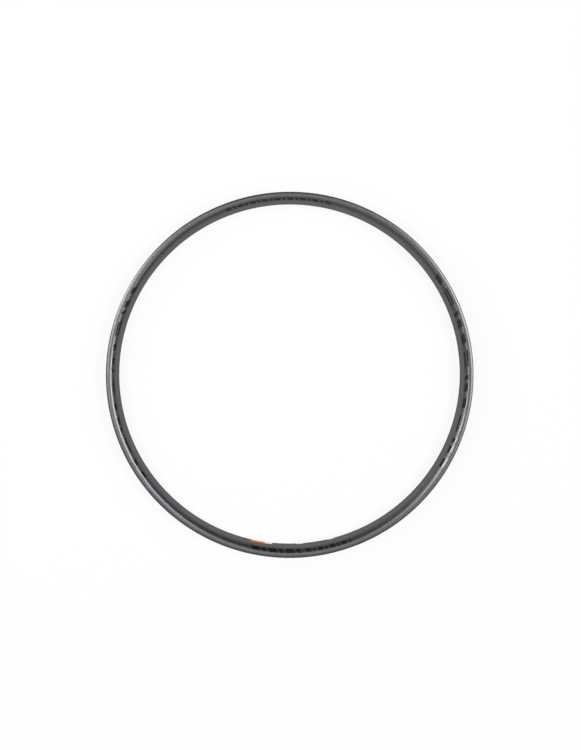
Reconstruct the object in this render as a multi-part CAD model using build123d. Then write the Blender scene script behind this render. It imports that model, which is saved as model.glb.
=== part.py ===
"""Bare bicycle rim for a wide disc-brake mountain wheel.

One hoop of extruded aluminium with a hollow double-wall section: two hooked flanges, a tyre bed with
bead seats and a drop channel, bulged side walls and an arched spoke bed that meets them in a round
knee. The hoop is drilled for the spokes and for one valve. It lies on its side, with the wheel's axle
along +Z and the origin at the wheel's centre. In the section, r is the distance from the axle and z the
distance from the mid plane. A lean is the angle by which the skin's outer side turns from the z axis
towards the axle: 0 at the widest point and 90 degrees at the crown of the spoke bed.
"""

import os
from math import atan2, cos, degrees, radians, sin

from build123d import *

# Driving sizes, in millimetres and degrees
bead_seat_diameter = 584.0  # tyre fitting size, the 27.5 inch class
inner_width = 35.0  # between the flanges
rim_depth = 19.6  # flange top to the crown of the spoke bed

flange_height = 6.0  # flange top above the bead seat
flange_wall = 2.5  # flange at the widest point of the section
widest_below_top = 3.5  # widest point below the flange top
hook_depth = 0.8  # lip past the flange's inner face
lip_setback = 0.5  # lip's outer side inside the widest point

side_radius = 16.0  # side wall, from the widest point down
side_lean = 17.0  # where the side wall ends and the knee starts
knee_radius = 6.0  # between the side wall and the spoke bed
flank_lean = 43.0  # where the knee ends and the flank of the spoke bed starts
crown_lean = 62.0  # where the flank ends and the crown of the spoke bed starts
side_wall = 1.2  # side walls and flanks of the spoke bed
crown_wall = 1.9  # spoke bed at the spoke holes
tyre_wall = 1.1  # tyre bed
chamber_corner = 1.0  # upper corners of the hollow

bead_seat_width = 5.2
bead_corner = 1.2  # between the bead seat and the flange
hump_height = 0.45  # ridge that keeps the bead on its seat
hump_width = 1.3  # from the bead seat to the ridge's crest
hump_round = 0.7
channel_depth = 3.4  # drop channel below the bead seat
channel_width = 13.4  # flat floor of the drop channel
channel_corner = 1.5

spoke_count = 28
spoke_hole = 4.5  # nipple hole in the spoke bed
access_hole = 8.2  # nipple access hole in the tyre bed
valve_hole = 6.5  # through both walls
valve_angle = 90.0  # place of the valve hole round the hoop
drill_overrun = 5.0  # drills past the outer faces

# Places that follow from the driving sizes
half_inner = inner_width / 2
half_outer = half_inner + flange_wall
seat_r = bead_seat_diameter / 2
top_r = seat_r + flange_height
widest_r = top_r - widest_below_top
crown_r = top_r - rim_depth
channel_r = seat_r - channel_depth
lip_radius = (flange_wall + hook_depth - lip_setback) / 2
spoke_pitch = 360 / spoke_count


def on_arc(centre, radius, lean):
    """Point of an arc where the skin has this lean."""
    return centre[0] - radius * sin(radians(lean)), centre[1] + radius * cos(radians(lean))


def flank_arc_radius():
    """Radius of the flank arc of the spoke bed.

    The flank and crown arcs carry the skin from the end of the knee to the crown of the bed. That sets how far
    the two together run towards the axle (drop) and towards the mid plane (inset), and so their radii.
    """
    side_centre = widest_r, half_outer - side_radius
    knee_centre = on_arc(side_centre, side_radius - knee_radius, side_lean)
    knee_end = on_arc(knee_centre, knee_radius, flank_lean)
    drop = knee_end[0] - crown_r
    inset = knee_end[1]
    flank_drop = sin(radians(crown_lean)) - sin(radians(flank_lean))
    flank_inset = cos(radians(flank_lean)) - cos(radians(crown_lean))
    crown_drop = 1 - sin(radians(crown_lean))
    crown_inset = cos(radians(crown_lean))
    share = flank_drop * crown_inset - flank_inset * crown_drop
    return (drop * crown_inset - inset * crown_drop) / share


def skin_face(depth):
    """Region inside the side walls and the spoke bed, this far under the outer skin.

    On each side the arcs of the side wall, the knee and the flank run into each other without a crease, and
    one crown arc joins the two flanks. The region is closed straight across between the widest points.
    """
    arcs = [(side_radius, side_lean), (knee_radius, flank_lean), (flank_arc_radius(), crown_lean)]
    centre = widest_r, half_outer
    radius = 0
    lean = 0
    with BuildSketch(Plane.XZ) as sketch:
        with BuildLine():
            for next_radius, next_lean in arcs:
                centre = on_arc(centre, radius - next_radius, lean)
                leans = [lean, (lean + next_lean) / 2, next_lean]
                ThreePointArc([on_arc(centre, next_radius - depth, angle) for angle in leans])
                radius = next_radius
                lean = next_lean
            mirror(about=Plane.XZ)
            flank_end = on_arc(centre, radius - depth, lean)
            ThreePointArc(flank_end, (crown_r + depth, 0), (flank_end[0], -flank_end[1]))
            Line((widest_r, half_outer - depth), (widest_r, depth - half_outer))
        make_face()
    return sketch.sketch


def flange_face():
    """One flange above the widest point, with the round lip that forms its hook.

    The flange's outer arc leaves the widest point straight up and runs into the lip without a crease.
    """
    lip = top_r - lip_radius, half_outer - lip_setback - lip_radius
    rise = lip[0] - widest_r
    radius = rise**2 / (2 * lip_setback) + lip_setback / 2 + lip_radius
    centre = widest_r, half_outer - radius
    lean = -degrees(atan2(rise, lip[1] - centre[1]))
    with BuildSketch(Plane.XZ) as sketch:
        with BuildLine():
            outer = ThreePointArc(
                on_arc(centre, radius, 0), on_arc(centre, radius, lean / 2), on_arc(centre, radius, lean)
            )
            Polyline(outer @ 1, lip, (lip[0], half_inner), (widest_r, half_inner), outer @ 0)
        make_face()
        with Locations(lip):
            Circle(lip_radius)
    return sketch.sketch


def tyre_well_face():
    """Space between the flanges: bead seats, retaining humps and the drop channel."""
    seat_edge = half_inner - bead_seat_width
    side = [
        (channel_r, channel_width / 2),
        (seat_r + hump_height, seat_edge - hump_width),
        (seat_r, seat_edge),
        (seat_r, half_inner),
        (top_r, half_inner),
    ]
    corners = [channel_corner, hump_round, hump_round, bead_corner]
    with BuildSketch(Plane.XZ) as sketch:
        with BuildLine():
            bed = FilletPolyline(
                [(r, -z) for r, z in reversed(side)] + side, radius=corners[::-1] + corners
            )
            Line(bed @ 0, bed @ 1)
        make_face()
    return sketch.sketch


def chamber_face(well):
    """The closed hollow between the spoke bed and the tyre bed, as wide as the tyre bed where it meets it."""
    lowest = crown_r + crown_wall
    highest = seat_r - tyre_wall
    with BuildSketch(Plane.XZ) as sketch:
        with Locations(((lowest + highest) / 2, 0)):
            RectangleRounded(highest - lowest, inner_width, chamber_corner)
    between_beds = sketch.sketch - offset(well, tyre_wall)
    return skin_face(side_wall) & between_beds


def section_face():
    """The extrusion's section, on the +X side of the axle."""
    well = tyre_well_face()
    flange = flange_face()
    walls = skin_face(0) - well - chamber_face(well)
    return walls + flange + mirror(flange, about=Plane.XY)


def drill(diameter, inner_r, outer_r):
    """A drill that lies along the local X axis, between two distances from the axle."""
    bit = Cylinder(diameter / 2, outer_r - inner_r, rotation=(0, 90, 0))
    return Pos((inner_r + outer_r) / 2, 0, 0) * bit


def rim():
    """The hoop, with its spoke holes spaced evenly and the valve hole halfway between two of them."""
    inside_r = crown_r - drill_overrun
    outside_r = top_r + drill_overrun
    chamber_r = (crown_r + crown_wall + channel_r - tyre_wall) / 2
    spokes = PolarLocations(0, spoke_count, valve_angle + spoke_pitch / 2)
    hoop = revolve(section_face(), axis=Axis.Z)
    hoop -= spokes * drill(spoke_hole, inside_r, chamber_r)
    hoop -= spokes * drill(access_hole, chamber_r, outside_r)
    hoop -= Rot(0, 0, valve_angle) * drill(valve_hole, inside_r, outside_r)
    return hoop


os.makedirs("parts", exist_ok=True)
export_step(rim(), "parts/rim.step")
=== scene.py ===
import itertools
import math

import bmesh
import bpy
import numpy as np
from mathutils import Matrix, Vector


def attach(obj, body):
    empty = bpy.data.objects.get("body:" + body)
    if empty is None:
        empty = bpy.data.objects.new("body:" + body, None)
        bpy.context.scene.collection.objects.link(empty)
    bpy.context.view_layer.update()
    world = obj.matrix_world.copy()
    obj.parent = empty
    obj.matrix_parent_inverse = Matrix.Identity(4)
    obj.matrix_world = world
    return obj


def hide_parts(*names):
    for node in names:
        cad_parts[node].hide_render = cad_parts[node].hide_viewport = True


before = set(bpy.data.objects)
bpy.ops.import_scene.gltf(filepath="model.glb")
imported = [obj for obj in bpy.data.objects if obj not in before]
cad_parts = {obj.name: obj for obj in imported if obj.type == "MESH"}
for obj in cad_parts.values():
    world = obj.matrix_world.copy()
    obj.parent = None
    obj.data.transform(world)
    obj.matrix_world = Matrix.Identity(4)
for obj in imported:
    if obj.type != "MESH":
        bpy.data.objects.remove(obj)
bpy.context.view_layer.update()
print("frame with", *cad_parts)

mm = 0.001
sharpTurn = math.radians(32)  # edges that turn by more than this stay sharp


def linear(hexCode):
    # an sRGB hex colour as linear light, by the standard's curve
    part = np.array([int(hexCode[i : i + 2], 16) for i in (1, 3, 5)]) / 255
    value = np.where(part <= 0.04045, part / 12.92, ((part + 0.055) / 1.055) ** 2.4)
    return (*value.tolist(), 1.0)


white = linear("#FFFFFF")


def addNode(tree, kind, inputs=None, **settings):
    # an input takes a plain value or another node's output
    node = tree.nodes.new(kind)
    for key, value in settings.items():
        setattr(node, key, value)
    for key, value in (inputs or {}).items():
        if isinstance(value, bpy.types.NodeSocket):
            tree.links.new(value, node.inputs[key])
        else:
            node.inputs[key].default_value = value
    return node


def emptyTree(owner):
    owner.use_nodes = True
    owner.node_tree.nodes.clear()
    return owner.node_tree


def meshPiece(name, points, faces, material):
    mesh = bpy.data.meshes.new(name)
    mesh.from_pydata(points, [], faces)
    shape = bmesh.new()
    shape.from_mesh(mesh)
    bmesh.ops.recalc_face_normals(shape, faces=shape.faces)
    shape.to_mesh(mesh)
    shape.free()
    mesh.shade_smooth()
    mesh.set_sharp_from_angle(angle=sharpTurn)
    mesh.materials.append(material)
    piece = bpy.data.objects.new(name, mesh)
    bpy.context.scene.collection.objects.link(piece)
    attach(piece, "root")
    print(name, len(mesh.vertices), "points", len(mesh.polygons), "faces")
    return piece


def cloudedMaterial(name, s, fixed):
    # clouds of two close colours and glosses, and a finer grain that dents the surface; sizes are in mm
    material = bpy.data.materials.new(name)
    tree = emptyTree(material)
    place = addNode(tree, "ShaderNodeTexCoord").outputs["Object"]
    clouds = {"Vector": place, "Scale": 1 / (s["cloud"] * mm), "Detail": s["cloudDetail"]}
    cloud = addNode(tree, "ShaderNodeTexNoise", clouds).outputs["Fac"]
    grains = {"Vector": place, "Scale": 1 / (s["grain"] * mm), "Detail": s["grainDetail"]}
    grain = addNode(tree, "ShaderNodeTexNoise", grains).outputs["Fac"]
    colours = {"Factor": cloud, "A": linear(s["dark"]), "B": linear(s["light"])}
    colour = addNode(tree, "ShaderNodeMix", colours, data_type="RGBA")
    least, most = s["rough"]
    rough = addNode(tree, "ShaderNodeMapRange", {"Value": cloud, "To Min": least, "To Max": most})
    dents = {"Height": grain, "Strength": s["grainStrength"], "Distance": s["grainDepth"] * mm}
    bump = addNode(tree, "ShaderNodeBump", dents)
    varied = {
        "Base Color": colour.outputs[2],
        "Roughness": rough.outputs["Result"],
        "Normal": bump.outputs["Normal"],
    }
    shader = addNode(tree, "ShaderNodeBsdfPrincipled", varied | fixed)
    addNode(tree, "ShaderNodeOutputMaterial", {"Surface": shader.outputs[0]})
    return material


# Anodised aluminium: a satin grey metal whose fine blasted grain spreads each lamp into a soft streak.
# The real grain is near 0.1 mm, too fine for the picture, so it is drawn coarser.
metal = {
    "light": "#68696A",
    "dark": "#626364",
    "edge": "#BCBCBC",  # tint at a glancing angle
    "rough": (0.32, 0.38),
    "cloud": 14.0,
    "cloudDetail": 3.0,
    "grain": 0.35,
    "grainDetail": 2.0,
    "grainDepth": 0.008,
    "grainStrength": 0.25,
}


def anodisedAluminium():
    fixed = {"Metallic": 1.0, "Specular Tint": linear(metal["edge"])}
    return cloudedMaterial("anodised aluminium", metal, fixed)


# Printed film: a smooth coat of ink that mirrors a lamp as a sharp white glint where it is glossy. The ink's
# depth and gloss vary a little in clouds, and the coat's slight ripple makes the glint waver.
gloss = {
    "rough": (0.045, 0.075),
    "index": 1.7,
    "cloud": 6.0,
    "cloudDetail": 3.0,
    "grain": 2.5,
    "grainDetail": 1.0,
    "grainDepth": 0.004,
    "grainStrength": 1.0,
}
satin = {
    "rough": (0.46, 0.54),
    "index": 1.35,
    "cloud": 3.0,
    "cloudDetail": 3.0,
    "grain": 0.5,
    "grainDetail": 1.0,
    "grainDepth": 0.003,
    "grainStrength": 1.0,
}
films = {
    "gloss black film": {"light": "#141415", "dark": "#101011", **gloss},
    "orange printed film": {"light": "#FF8E18", "dark": "#FB8610", **satin},
    "white printed film": {"light": "#F3F3F1", "dark": "#EDEDEB", **satin},
}


def printedFilm(name):
    return cloudedMaterial(name, films[name], {"IOR": films[name]["index"]})


aluminium = anodisedAluminium()
blackFilm = printedFilm("gloss black film")
orangeFilm = printedFilm("orange printed film")
whiteFilm = printedFilm("white printed film")
print("materials of metal and film")

# The rim's section in mm and degrees: r from the axle, z from the mid plane. A lean is the angle by which the
# skin's outward direction turns from the z axis towards the axle: 0 at the widest point, 90 at the crown of
# the spoke bed. An arc has its radius and the lean at its far end.
section = {
    "widest": (294.5, 20.0),  # r and z
    "side": (16.0, 17.0),
    "knee": (6.0, 43.0),
    "flank": (33.973, 62.0),
    "crown": (19.286, 90.0),
    "flange": (6.06, -26.785),
    "lip": (1.4, -244.62),
}


def outward(lean):
    # the skin's outward direction as (r, z): minus the sine and the cosine of its lean
    a = np.radians(lean)
    return np.stack([-np.sin(a), np.cos(a)], -1)


def skinArcs():
    # one chain of arcs runs from the widest point to the crown and one to the lip; each arc starts on the
    # last one's end with the same lean, so its centre lies on that end's normal
    table = []
    for chain in (("side", "knee", "flank", "crown"), ("flange", "lip")):
        lean, centre, radius = 0.0, np.array(section["widest"]), 0.0
        for name in chain:
            nextRadius, nextLean = section[name]
            centre = centre + (radius - nextRadius) * outward(lean)
            table.append((min(lean, nextLean), centre, nextRadius))
            lean, radius = nextLean, nextRadius
    table.sort(key=lambda row: row[0])
    return (np.array(column) for column in zip(*table))


arcLow, arcCentre, arcRadius = skinArcs()
crownRadius = section["crown"][0]


def skin(lean, lift=0.0):
    # the outer skin at this lean: its arc's centre plus the radius and the lift times the outward direction
    lean = np.asarray(lean, float)
    k = np.clip(np.searchsorted(arcLow, lean, side="right") - 1, 0, len(arcLow) - 1)
    return arcCentre[k] + (arcRadius[k] + lift)[..., None] * outward(lean)


def steps(first, last, count):
    return np.linspace(first, last, count, endpoint=False)


def level(r, z):
    return np.stack([np.full(len(z), r), z], -1)


def roundedLine(corners, count):
    # a line through the corners (r, z, radius), with an arc of that radius tangent to both sides of each: the
    # arc's points are its centre plus its two end spokes, weighted by the sines of the turns to the other end
    share = np.linspace(0, 1, count)[:, None]
    line = [[corners[0][:2]]]
    for before, (r, z, radius), after in zip(corners, corners[1:], corners[2:]):
        here = np.array([r, z])
        a = np.subtract(before[:2], here)
        b = np.subtract(after[:2], here)
        a = a / np.linalg.norm(a)
        b = b / np.linalg.norm(b)
        half = math.acos(np.clip(a @ b, -1, 1)) / 2
        centre = here + (a + b) / np.linalg.norm(a + b) * radius / math.sin(half)
        first = here + a * radius / math.tan(half) - centre
        last = here + b * radius / math.tan(half) - centre
        turn = math.pi - 2 * half
        arc = np.sin((1 - share) * turn) * first + np.sin(share * turn) * last
        line.append(centre + arc / math.sin(turn))
    line.append([corners[-1][:2]])
    return np.concatenate(line)


def mirrored(half):
    # adds the other side of the mid plane, without the first and last points, which lie on it
    return np.concatenate([half, half[-2:0:-1] * [1, -1]])


def carried(r, z, angle):
    # round the axle: x and y are r times the angle's cosine and sine
    return np.stack([r * np.cos(angle), r * np.sin(angle), z + 0 * angle], -1)


# The drilled hoop in mm and degrees: its holes, its two outlines and the cells of its mesh. A corner is r, z
# and radius, and the first and last of a line have no radius.
hoop = {
    "places": 56,  # odd ones are spoke holes, and place 0 is the valve's
    "firstPlace": 90.0,
    "spoke": 2.25,  # radii of the holes
    "access": 4.1,
    "valve": 3.25,
    "breakEdge": 0.25,
    "patchHalf": 5.4,  # half the patch of cells round a hole in the tyre bed
    "patchCells": 6,
    "gapCells": 3,  # from one patch to the next
    "bedLeans": (90.0, 74.36),  # half the patch on the spoke bed
    "skinRows": (3, 3, 5, 7, 4, 4, 14),  # on that half, on the crown's rest and on each arc to the lip
    "bedCorners": [
        (295.335, 17.5),
        (292.0, 17.5, 1.2),
        (292.0, 12.3, 0.7),
        (292.45, 11.0, 0.7),
        (288.6, 6.7, 1.5),
        (288.6, 5.4),
    ],
    "bedArc": 4,  # points on a corner
    "floor": 288.6,
    "hollowBed": 280.3,
    "hollowFlat": (4.0, 4.983),  # half the patch on the hollow's flat, and half the flat
    "hollowLeans": (62.0, 43.0, 35.0),
    "hollowRows": 3,
    "sideWall": 1.2,
    "hollowCorners": [
        (288.83, 17.5),
        (290.9, 17.5, 1.0),
        (290.9, 10.93, 0.05),
        (287.5, 7.13, 2.6),
        (287.5, 5.4),
    ],
    "hollowArc": 3,
    "hollowFloor": 287.5,
}
halfCells = hoop["patchCells"] // 2


def floorLine(r):
    # from the edge of the tyre bed's patch, which the line before it has, to the mid plane
    return level(r, np.linspace(hoop["patchHalf"], 0, halfCells + 1)[1:])


def outerOutline():
    # from the crown over the skin to the lip, and along the tyre bed back to the mid plane
    s = hoop
    stops = [*s["bedLeans"], *arcLow[::-1]]
    leans = np.concatenate([steps(*row) for row in zip(stops, stops[1:], s["skinRows"])])
    bed = roundedLine(s["bedCorners"], s["bedArc"])
    return mirrored(np.concatenate([skin(leans), bed, floorLine(s["floor"])]))


def hollowOutline():
    # from the flat over the spoke holes up the walls' inner side, and under the tyre bed to the mid plane
    s = hoop
    rows = s["hollowRows"]
    patchEdge, flatEdge = s["hollowFlat"]
    flat = level(s["hollowBed"], np.append(np.linspace(0, patchEdge, halfCells + 1), flatEdge))
    flatLean = math.degrees(math.acos(flatEdge / (crownRadius - s["sideWall"])))
    crownLean, flankLean, lastLean = s["hollowLeans"]
    leans = [steps(flatLean, crownLean, rows)[1:], steps(crownLean, flankLean, rows), [flankLean, lastLean]]
    wall = skin(np.concatenate(leans), -s["sideWall"])
    roof = roundedLine(s["hollowCorners"], s["hollowArc"])[1:]
    return mirrored(np.concatenate([flat, wall, roof, floorLine(s["hollowFloor"])]))


def placeAngle(place):
    return math.radians(hoop["firstPlace"]) + 2 * math.pi / hoop["places"] * place


def columnAngles():
    # the columns of a patch at each place, then a few wider ones to the next patch
    s = hoop
    pitch = 2 * math.pi / s["places"]
    half = s["patchHalf"] / s["floor"]
    patch = steps(-half, half, s["patchCells"])
    gap = steps(half, pitch - half, s["gapCells"])
    return (placeAngle(np.arange(s["places"]))[:, None] + np.concatenate([patch, gap])).ravel()


def patchRing():
    # the corners round a patch of cells, as (row, column) steps from its middle
    up = np.arange(-halfCells, halfCells)
    one = np.full(hoop["patchCells"], halfCells)
    return np.concatenate([-one, up, one, -up]), np.concatenate([up, one, -up, -one])


def drilledHoop():
    # The outer face and the hollow's are grids of outline by angle. A patch of cells is left out round each
    # hole, and rings of points lead from it over the broken edge and through the hole to the other patch.
    s = hoop
    angles = columnAngles()
    count = len(angles)
    outlines = {"outer": outerOutline(), "hollow": hollowOutline()}
    starts = {"outer": 0, "hollow": len(outlines["outer"]) * count}
    grids = {name: carried(line[:, :1], line[:, 1:], angles) for name, line in outlines.items()}
    kept = {name: np.ones((len(line), count), bool) for name, line in outlines.items()}
    points = [grid.reshape(-1, 3) for grid in grids.values()]
    faces = []
    cells = np.arange(-halfCells, halfCells)
    ringRow, ringColumn = patchRing()
    ringTurn = np.arctan2(ringRow, ringColumn)
    circle = np.stack([np.cos(ringTurn), np.sin(ringTurn)])

    def bedRadius(z):
        # the crown's arc: its lowest r, plus the radius less the root of radius squared minus z squared
        return outlines["outer"][0, 0] + crownRadius - np.sqrt(crownRadius**2 - z**2)

    def flatRadius(r):
        return lambda z: r + 0 * z

    def holeRings(face, place, radius, inward):
        # on a face, a point's way out along the hole is the root of r squared minus its way sideways squared
        name, middleRow, way, faceRadius = face
        rows = len(outlines[name])
        middleColumn = (s["patchCells"] + s["gapCells"]) * place + halfCells
        kept[name][np.ix_((middleRow + cells) % rows, (middleColumn + cells) % count)] = False
        row = (middleRow + way * ringRow) % rows
        column = (middleColumn + ringColumn) % count
        angle = placeAngle(place)
        outWay = (math.cos(angle), math.sin(angle), 0)
        sideWay = (-math.sin(angle), math.cos(angle), 0)
        patchEdge = grids[name][row, column]
        square = np.stack([patchEdge @ sideWay, patchEdge[:, 2]])
        broken = (radius + s["breakEdge"]) * circle
        made = [((square + broken) / 2, 0), (broken, 0), (radius * circle, s["breakEdge"] * inward)]
        rings = [starts[name] + row * count + column]
        for (across, z), deep in made:
            out = np.sqrt(faceRadius(z) ** 2 - across**2) + deep
            rings.append(sum(map(len, points)) + np.arange(len(out)))
            points.append(np.outer(out, outWay) + np.outer(across, sideWay) + np.outer(z, (0, 0, 1)))
        return rings

    def bore(place, radius, near, far):
        rings = holeRings(near, place, radius, 1) + holeRings(far, place, radius, -1)[::-1]
        for a, b in zip(rings, rings[1:]):
            faces.append(np.stack([a, np.roll(a, -1), np.roll(b, -1), b], -1))

    # a face has its wall, the row on the mid plane, the way of its rows and its r at z
    bedOut = ("outer", 0, 1, bedRadius)
    bedIn = ("hollow", 0, 1, flatRadius(s["hollowBed"]))
    floorIn = ("hollow", len(outlines["hollow"]) // 2, -1, flatRadius(s["hollowFloor"]))
    floorOut = ("outer", len(outlines["outer"]) // 2, -1, flatRadius(s["floor"]))
    for place in range(1, s["places"], 2):
        bore(place, s["spoke"], bedOut, bedIn)
        bore(place, s["access"], floorIn, floorOut)
    bore(0, s["valve"], bedOut, bedIn)
    bore(0, s["valve"], floorIn, floorOut)
    for name, cell in kept.items():
        row, column = np.nonzero(cell)
        nextRow = (row + 1) % len(cell)
        nextColumn = (column + 1) % count
        corners = [(row, column), (row, nextColumn), (nextRow, nextColumn), (nextRow, column)]
        faces.append(np.stack([starts[name] + r * count + c for r, c in corners], -1))
    # points inside the patches are in no face and are dropped
    used, packed = np.unique(np.concatenate(faces), return_inverse=True)
    return np.concatenate(points)[used] * mm, packed.reshape(-1, 4)


points, faces = drilledHoop()
rim = meshPiece("drilled_hoop", points, faces, aluminium)
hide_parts("rim")

# Film on the metal, in mm: its face lies above the skin, and its underside is sunk a little into the metal
film = {
    "top": 0.05,
    "under": -0.01,
    "middle": 289.0,  # r at which the bars are measured
    "outer": 295.0,  # r at which the cells along the hoop are measured
    "cell": 1.5,
    "leanStep": 1.4,  # of the cells across it, in degrees
}
# the skin's length from the lip inwards, which on each arc grows evenly with the lean
skinStops = np.append(arcLow, 180.0)
skinLengths = np.concatenate([[0], np.cumsum(arcRadius * np.radians(np.diff(skinStops)))])


def filmPatch(firstAngle, lastAngle, shares, leans, slant):
    # a closed loop over and under the film, carried along the hoop; across it, the film covers shares of the
    # length between two leans, and the slant shifts each point along by its share
    start, end = np.interp(leans, skinStops, skinLengths)
    edges = np.interp(start + (end - start) * np.array(shares), skinLengths, skinStops)
    lean = np.linspace(*edges, int(abs(edges[1] - edges[0]) / film["leanStep"]) + 2)
    across = (np.interp(lean, skinStops, skinLengths) - start) / (end - start)
    loop = np.concatenate([skin(lean, film["top"]), skin(lean[::-1], film["under"])])
    shift = slant * np.concatenate([across, across[::-1]])
    length = math.radians(abs(lastAngle - firstAngle)) * film["outer"]
    columns = max(2, int(length / film["cell"]) + 1)
    angle = np.radians(np.linspace(firstAngle, lastAngle, columns)[:, None] + shift)
    points = carried(loop[:, 0], loop[:, 1], angle).reshape(-1, 3)
    n = len(loop)
    here = np.arange(n)
    after = (here + 1) % n
    column = np.arange(columns - 1)[:, None] * n
    sides = np.stack([column + here, column + after, column + n + after, column + n + here], -1)
    top = np.arange(n // 2 - 1)
    cap = np.stack([top, top + 1, n - 2 - top, n - 1 - top], -1)
    return points, np.concatenate([sides.reshape(-1, 4), cap, cap + (columns - 1) * n])


def filmPiece(name, patches, material):
    points, faces, used = [], [], 0
    for patch in patches:
        patchPoints, patchFaces = filmPatch(*patch)
        points.append(patchPoints)
        faces.append(patchFaces + used)
        used += len(patchPoints)
    return meshPiece(name, np.concatenate(points) * mm, np.concatenate(faces), material)


def barPatches(mark):
    # walks along the mark with its run of bars until the next one would pass its last angle
    degree = math.degrees(1 / film["middle"])  # of one mm
    at = mark["first"]
    patches = []
    for bar, gap, low, high in itertools.cycle(mark["run"]):
        if at + (bar + mark["slant"]) * degree > mark["last"]:
            return patches
        patches.append((at, at + bar * degree, (low, high), mark["leans"], mark["slant"] * degree))
        at += (bar + gap) * degree


# Film marks on the front face, in slanted bars. A run lists each bar's length and the gap after it in mm, and
# its lower and upper share of the mark's height; a gap of minus the bar sets the next bar beside it.
rightRun = [
    (16.0, 11.0, 0, 1),
    (13.0, 6.5, 0, 1),
    (7.0, 12.0, 0, 1),
    (28.0, -28.0, 0.7, 1),
    (28.0, 12.0, 0, 0.32),
]
leftRun = [
    (11.0, 13.0, 0, 1),
    (11.0, 7.0, 0, 1),
    (5.0, 14.0, 0, 1),
    (24.0, -24.0, 0.7, 1),
    (24.0, 13.0, 0, 0.36),
]
longRight = {"leans": (50.6, 13.0), "slant": 4.0, "run": rightRun}
longLeft = {"leans": (48.5, 14.0), "slant": 4.0, "run": leftRun}
short = {"leans": (51.8, 18.5), "slant": 2.6}
bold = {**short, "run": [(14.0, 4.0, 0, 1), (6.5, 4.0, 0, 1)]}
fine = {**short, "run": [(8.5, 4.2, 0.08, 0.92), (3.4, 4.2, 0.08, 0.92)]}
marks = {
    "long_mark_right": {"first": 325.1, "last": 393.1, **longRight},
    "long_mark_left": {"first": 145.75, "last": 214.0, **longLeft},
    "short_mark_top": {"first": 73.25, "last": 107.75, **fine},
    "short_mark_bottom_bold": {"first": 253.5, "last": 271.0, **bold},
    "short_mark_bottom_fine": {"first": 271.4, "last": 287.25, **fine},
}
for name, mark in marks.items():
    filmPiece(name, barPatches(mark), blackFilm)

# Label fields on the crown of the spoke bed, from 4.3 mm behind the mid plane to 5.2 mm in front of it: first
# and last angle, and the share of that width
label = {
    "leans": (103.0, 74.5),
    "orange": [(253.1, 257.9, 1)],
    "white": [(257.9, 260.4, 1), (268.7, 271.0, 0.64), (279.3, 281.5, 0.64)],
}


def labelFields(colour):
    return [(first, last, (0, share), label["leans"], 0.0) for first, last, share in label[colour]]


filmPiece("orange_label_field", labelFields("orange"), orangeFilm)
filmPiece("white_label_fields", labelFields("white"), whiteFilm)

# The camera; the picture's right and up lie on the floor, turned from the part's X and Y
picture = {
    "turn": -3.5,
    "tiltUp": 5.211,  # off the axle, in degrees
    "tiltLeft": 0.987,
    "distance": 2.1086,  # m
    "aim": (0.92, 1.96),  # shift to the right and up, in mm
    "lens": 61.92,
    "sensor": 36.0,
    "reach": 100.0,  # m
}
turn = math.radians(picture["turn"])
rightWay = Vector((math.cos(turn), math.sin(turn), 0))
upWay = Vector((-math.sin(turn), math.cos(turn), 0))
axleWay = Vector((0, 0, 1))


def pictured(right, up, height):
    return rightWay * right + upWay * up + axleWay * height


def standing(at, side, lift, back):
    # the place and turn of a camera or lamp, which look against their back
    return Matrix.Translation(at) @ Matrix((side, lift, back)).transposed().to_4x4()


def addCamera():
    s = picture
    left = math.sin(math.radians(s["tiltLeft"]))
    up = math.sin(math.radians(s["tiltUp"]))
    back = pictured(-left, up, math.sqrt(1 - left**2 - up**2))
    lift = (upWay - back * upWay.dot(back)).normalized()
    side = lift.cross(back)
    data = bpy.data.cameras.new("camera")
    data.lens = s["lens"]
    data.sensor_width = s["sensor"]
    data.clip_end = s["reach"]
    camera = bpy.data.objects.new("camera", data)
    aim = side * s["aim"][0] * mm + lift * s["aim"][1] * mm
    camera.matrix_world = standing(back * s["distance"] + aim, side, lift, back)
    bpy.context.scene.collection.objects.link(camera)
    bpy.context.scene.camera = camera


# Soft boxes that face the wheel's centre: the middle in the picture's right, up and height, the length and
# width (all in m), the length's turn in the picture in degrees, the radiance and the colour
lamps = {
    "soft box right": {
        "at": (2.226, 0.156, 4.475),
        "size": (1.05, 2.05),
        "turn": 4,
        "radiance": 17.0,
        "colour": "#F7FAFF",
    },
    "soft box left": {
        "at": (-1.255, 0.46, 1.61),
        "size": (2.4, 0.45),
        "turn": 150,
        "radiance": 9.0,
        "colour": "#FFFEFD",
    },
    "soft box low right": {
        "at": (2.094, 0.522, 2.084),
        "size": (1.1, 2.4),
        "turn": 14,
        "radiance": 3.0,
        "colour": "#F7FAFF",
    },
}


def addLamps():
    for name, s in lamps.items():
        length, width = s["size"]
        data = bpy.data.lights.new(name, "AREA")
        data.shape = "RECTANGLE"
        data.size = length
        data.size_y = width
        data.energy = s["radiance"] * math.pi * length * width
        data.color = linear(s["colour"])[:3]
        lamp = bpy.data.objects.new(name, data)
        at = pictured(*s["at"])
        back = at.normalized()
        lampTurn = math.radians(s["turn"])
        lengthWay = pictured(math.cos(lampTurn), math.sin(lampTurn), 0)
        lengthWay = (lengthWay - back * lengthWay.dot(back)).normalized()
        lamp.matrix_world = standing(at, lengthWay, back.cross(lengthWay), back)
        bpy.context.scene.collection.objects.link(lamp)


# The room's light: its level, its growth along the picture's right, up and height, and the least it falls to
room = {"level": 0.21, "slope": (-0.081, -0.14, 0.17), "least": 0.015}


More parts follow.
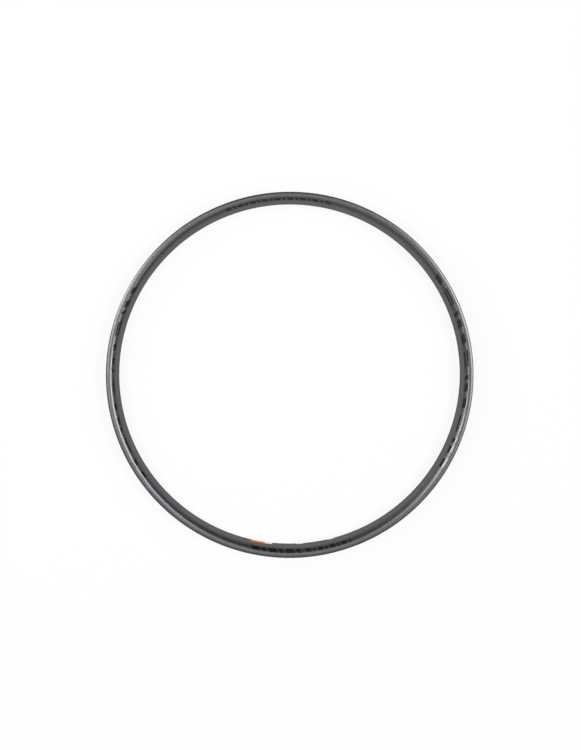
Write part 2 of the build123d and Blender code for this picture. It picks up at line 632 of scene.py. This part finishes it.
def addRoom():
    # a plain room, lighter overhead and towards the picture's lower left; the picture itself sees it as white
    s = room
    world = bpy.data.worlds.new("room")
    world.cycles.sampling_method = "NONE"  # rays find it by themselves, with less grain in the picture
    bpy.context.scene.world = world
    tree = emptyTree(world)
    direction = addNode(tree, "ShaderNodeTexCoord").outputs["Generated"]
    ways = {0: direction, 1: pictured(*s["slope"])}
    slope = addNode(tree, "ShaderNodeVectorMath", ways, operation="DOT_PRODUCT").outputs["Value"]
    light = addNode(tree, "ShaderNodeMath", {0: slope, 1: s["level"]}, operation="ADD").outputs[0]
    light = addNode(tree, "ShaderNodeMath", {0: light, 1: s["least"]}, operation="MAXIMUM").outputs[0]
    dim = addNode(tree, "ShaderNodeBackground", {"Color": white, "Strength": light}).outputs[0]
    plain = addNode(tree, "ShaderNodeBackground", {"Color": white, "Strength": 1.0}).outputs[0]
    eye = addNode(tree, "ShaderNodeLightPath").outputs["Is Camera Ray"]
    both = addNode(tree, "ShaderNodeMixShader", {0: eye, 1: dim, 2: plain}).outputs[0]
    addNode(tree, "ShaderNodeOutputWorld", {"Surface": both})


paper = {
    "colour": "#E7E7E7",
    "half": 20.0,  # m
    "height": -20.0,  # mm, under the rim
    "matt": 0.12,  # share that takes shadows, to the eye
    "mattInMetal": 0.5,
    "mattReach": (0.6, 2.4),  # m from the middle, between which it fades out
}


def addFloor():
    # white paper: it shines as plain white to the eye and in the metal, and a matt share takes the rim's
    # shadow; to the eye that share fades out with the distance, so the paper runs into the white behind it
    s = paper
    half = s["half"]
    mesh = bpy.data.meshes.new("floor")
    corners = [(-half, -half, 0), (half, -half, 0), (half, half, 0), (-half, half, 0)]
    mesh.from_pydata(corners, [], [(0, 1, 2, 3)])
    floor = bpy.data.objects.new("floor", mesh)
    floor.location.z = s["height"] * mm
    material = bpy.data.materials.new("white paper")
    material.cycles.emission_sampling = "NONE"  # rays find it by themselves, with less grain in the picture
    tree = emptyTree(material)
    path = addNode(tree, "ShaderNodeLightPath").outputs
    eye = path["Is Camera Ray"]
    seen = addNode(tree, "ShaderNodeMath", {0: eye, 1: path["Is Glossy Ray"]}, operation="MAXIMUM").outputs[0]
    through = {0: seen, 1: path["Is Transmission Ray"]}
    seen = addNode(tree, "ShaderNodeMath", through, operation="MAXIMUM").outputs[0]
    plain = addNode(tree, "ShaderNodeBsdfDiffuse", {"Color": linear(s["colour"])}).outputs[0]
    shine = addNode(tree, "ShaderNodeEmission", {"Color": white, "Strength": 1.0}).outputs[0]
    place = addNode(tree, "ShaderNodeTexCoord").outputs["Object"]
    away = addNode(tree, "ShaderNodeVectorMath", {0: place}, operation="LENGTH").outputs["Value"]
    near, far = s["mattReach"]
    fade = {"Value": away, "From Min": near, "From Max": far, "To Min": 1 - s["matt"], "To Max": 1.0}
    toEye = addNode(tree, "ShaderNodeMapRange", fade).outputs[0]
    shares = {"Factor": eye, "A": 1 - s["mattInMetal"], "B": toEye}
    share = addNode(tree, "ShaderNodeMix", shares).outputs[0]
    mixed = addNode(tree, "ShaderNodeMixShader", {0: share, 1: plain, 2: shine}).outputs[0]
    both = addNode(tree, "ShaderNodeMixShader", {0: seen, 1: plain, 2: mixed}).outputs[0]
    addNode(tree, "ShaderNodeOutputMaterial", {"Surface": both})
    mesh.materials.append(material)
    bpy.context.scene.collection.objects.link(floor)


addCamera()
addLamps()
addRoom()
addFloor()
bpy.context.scene.view_settings.view_transform = "Standard"
print("camera, lamps, room and floor")
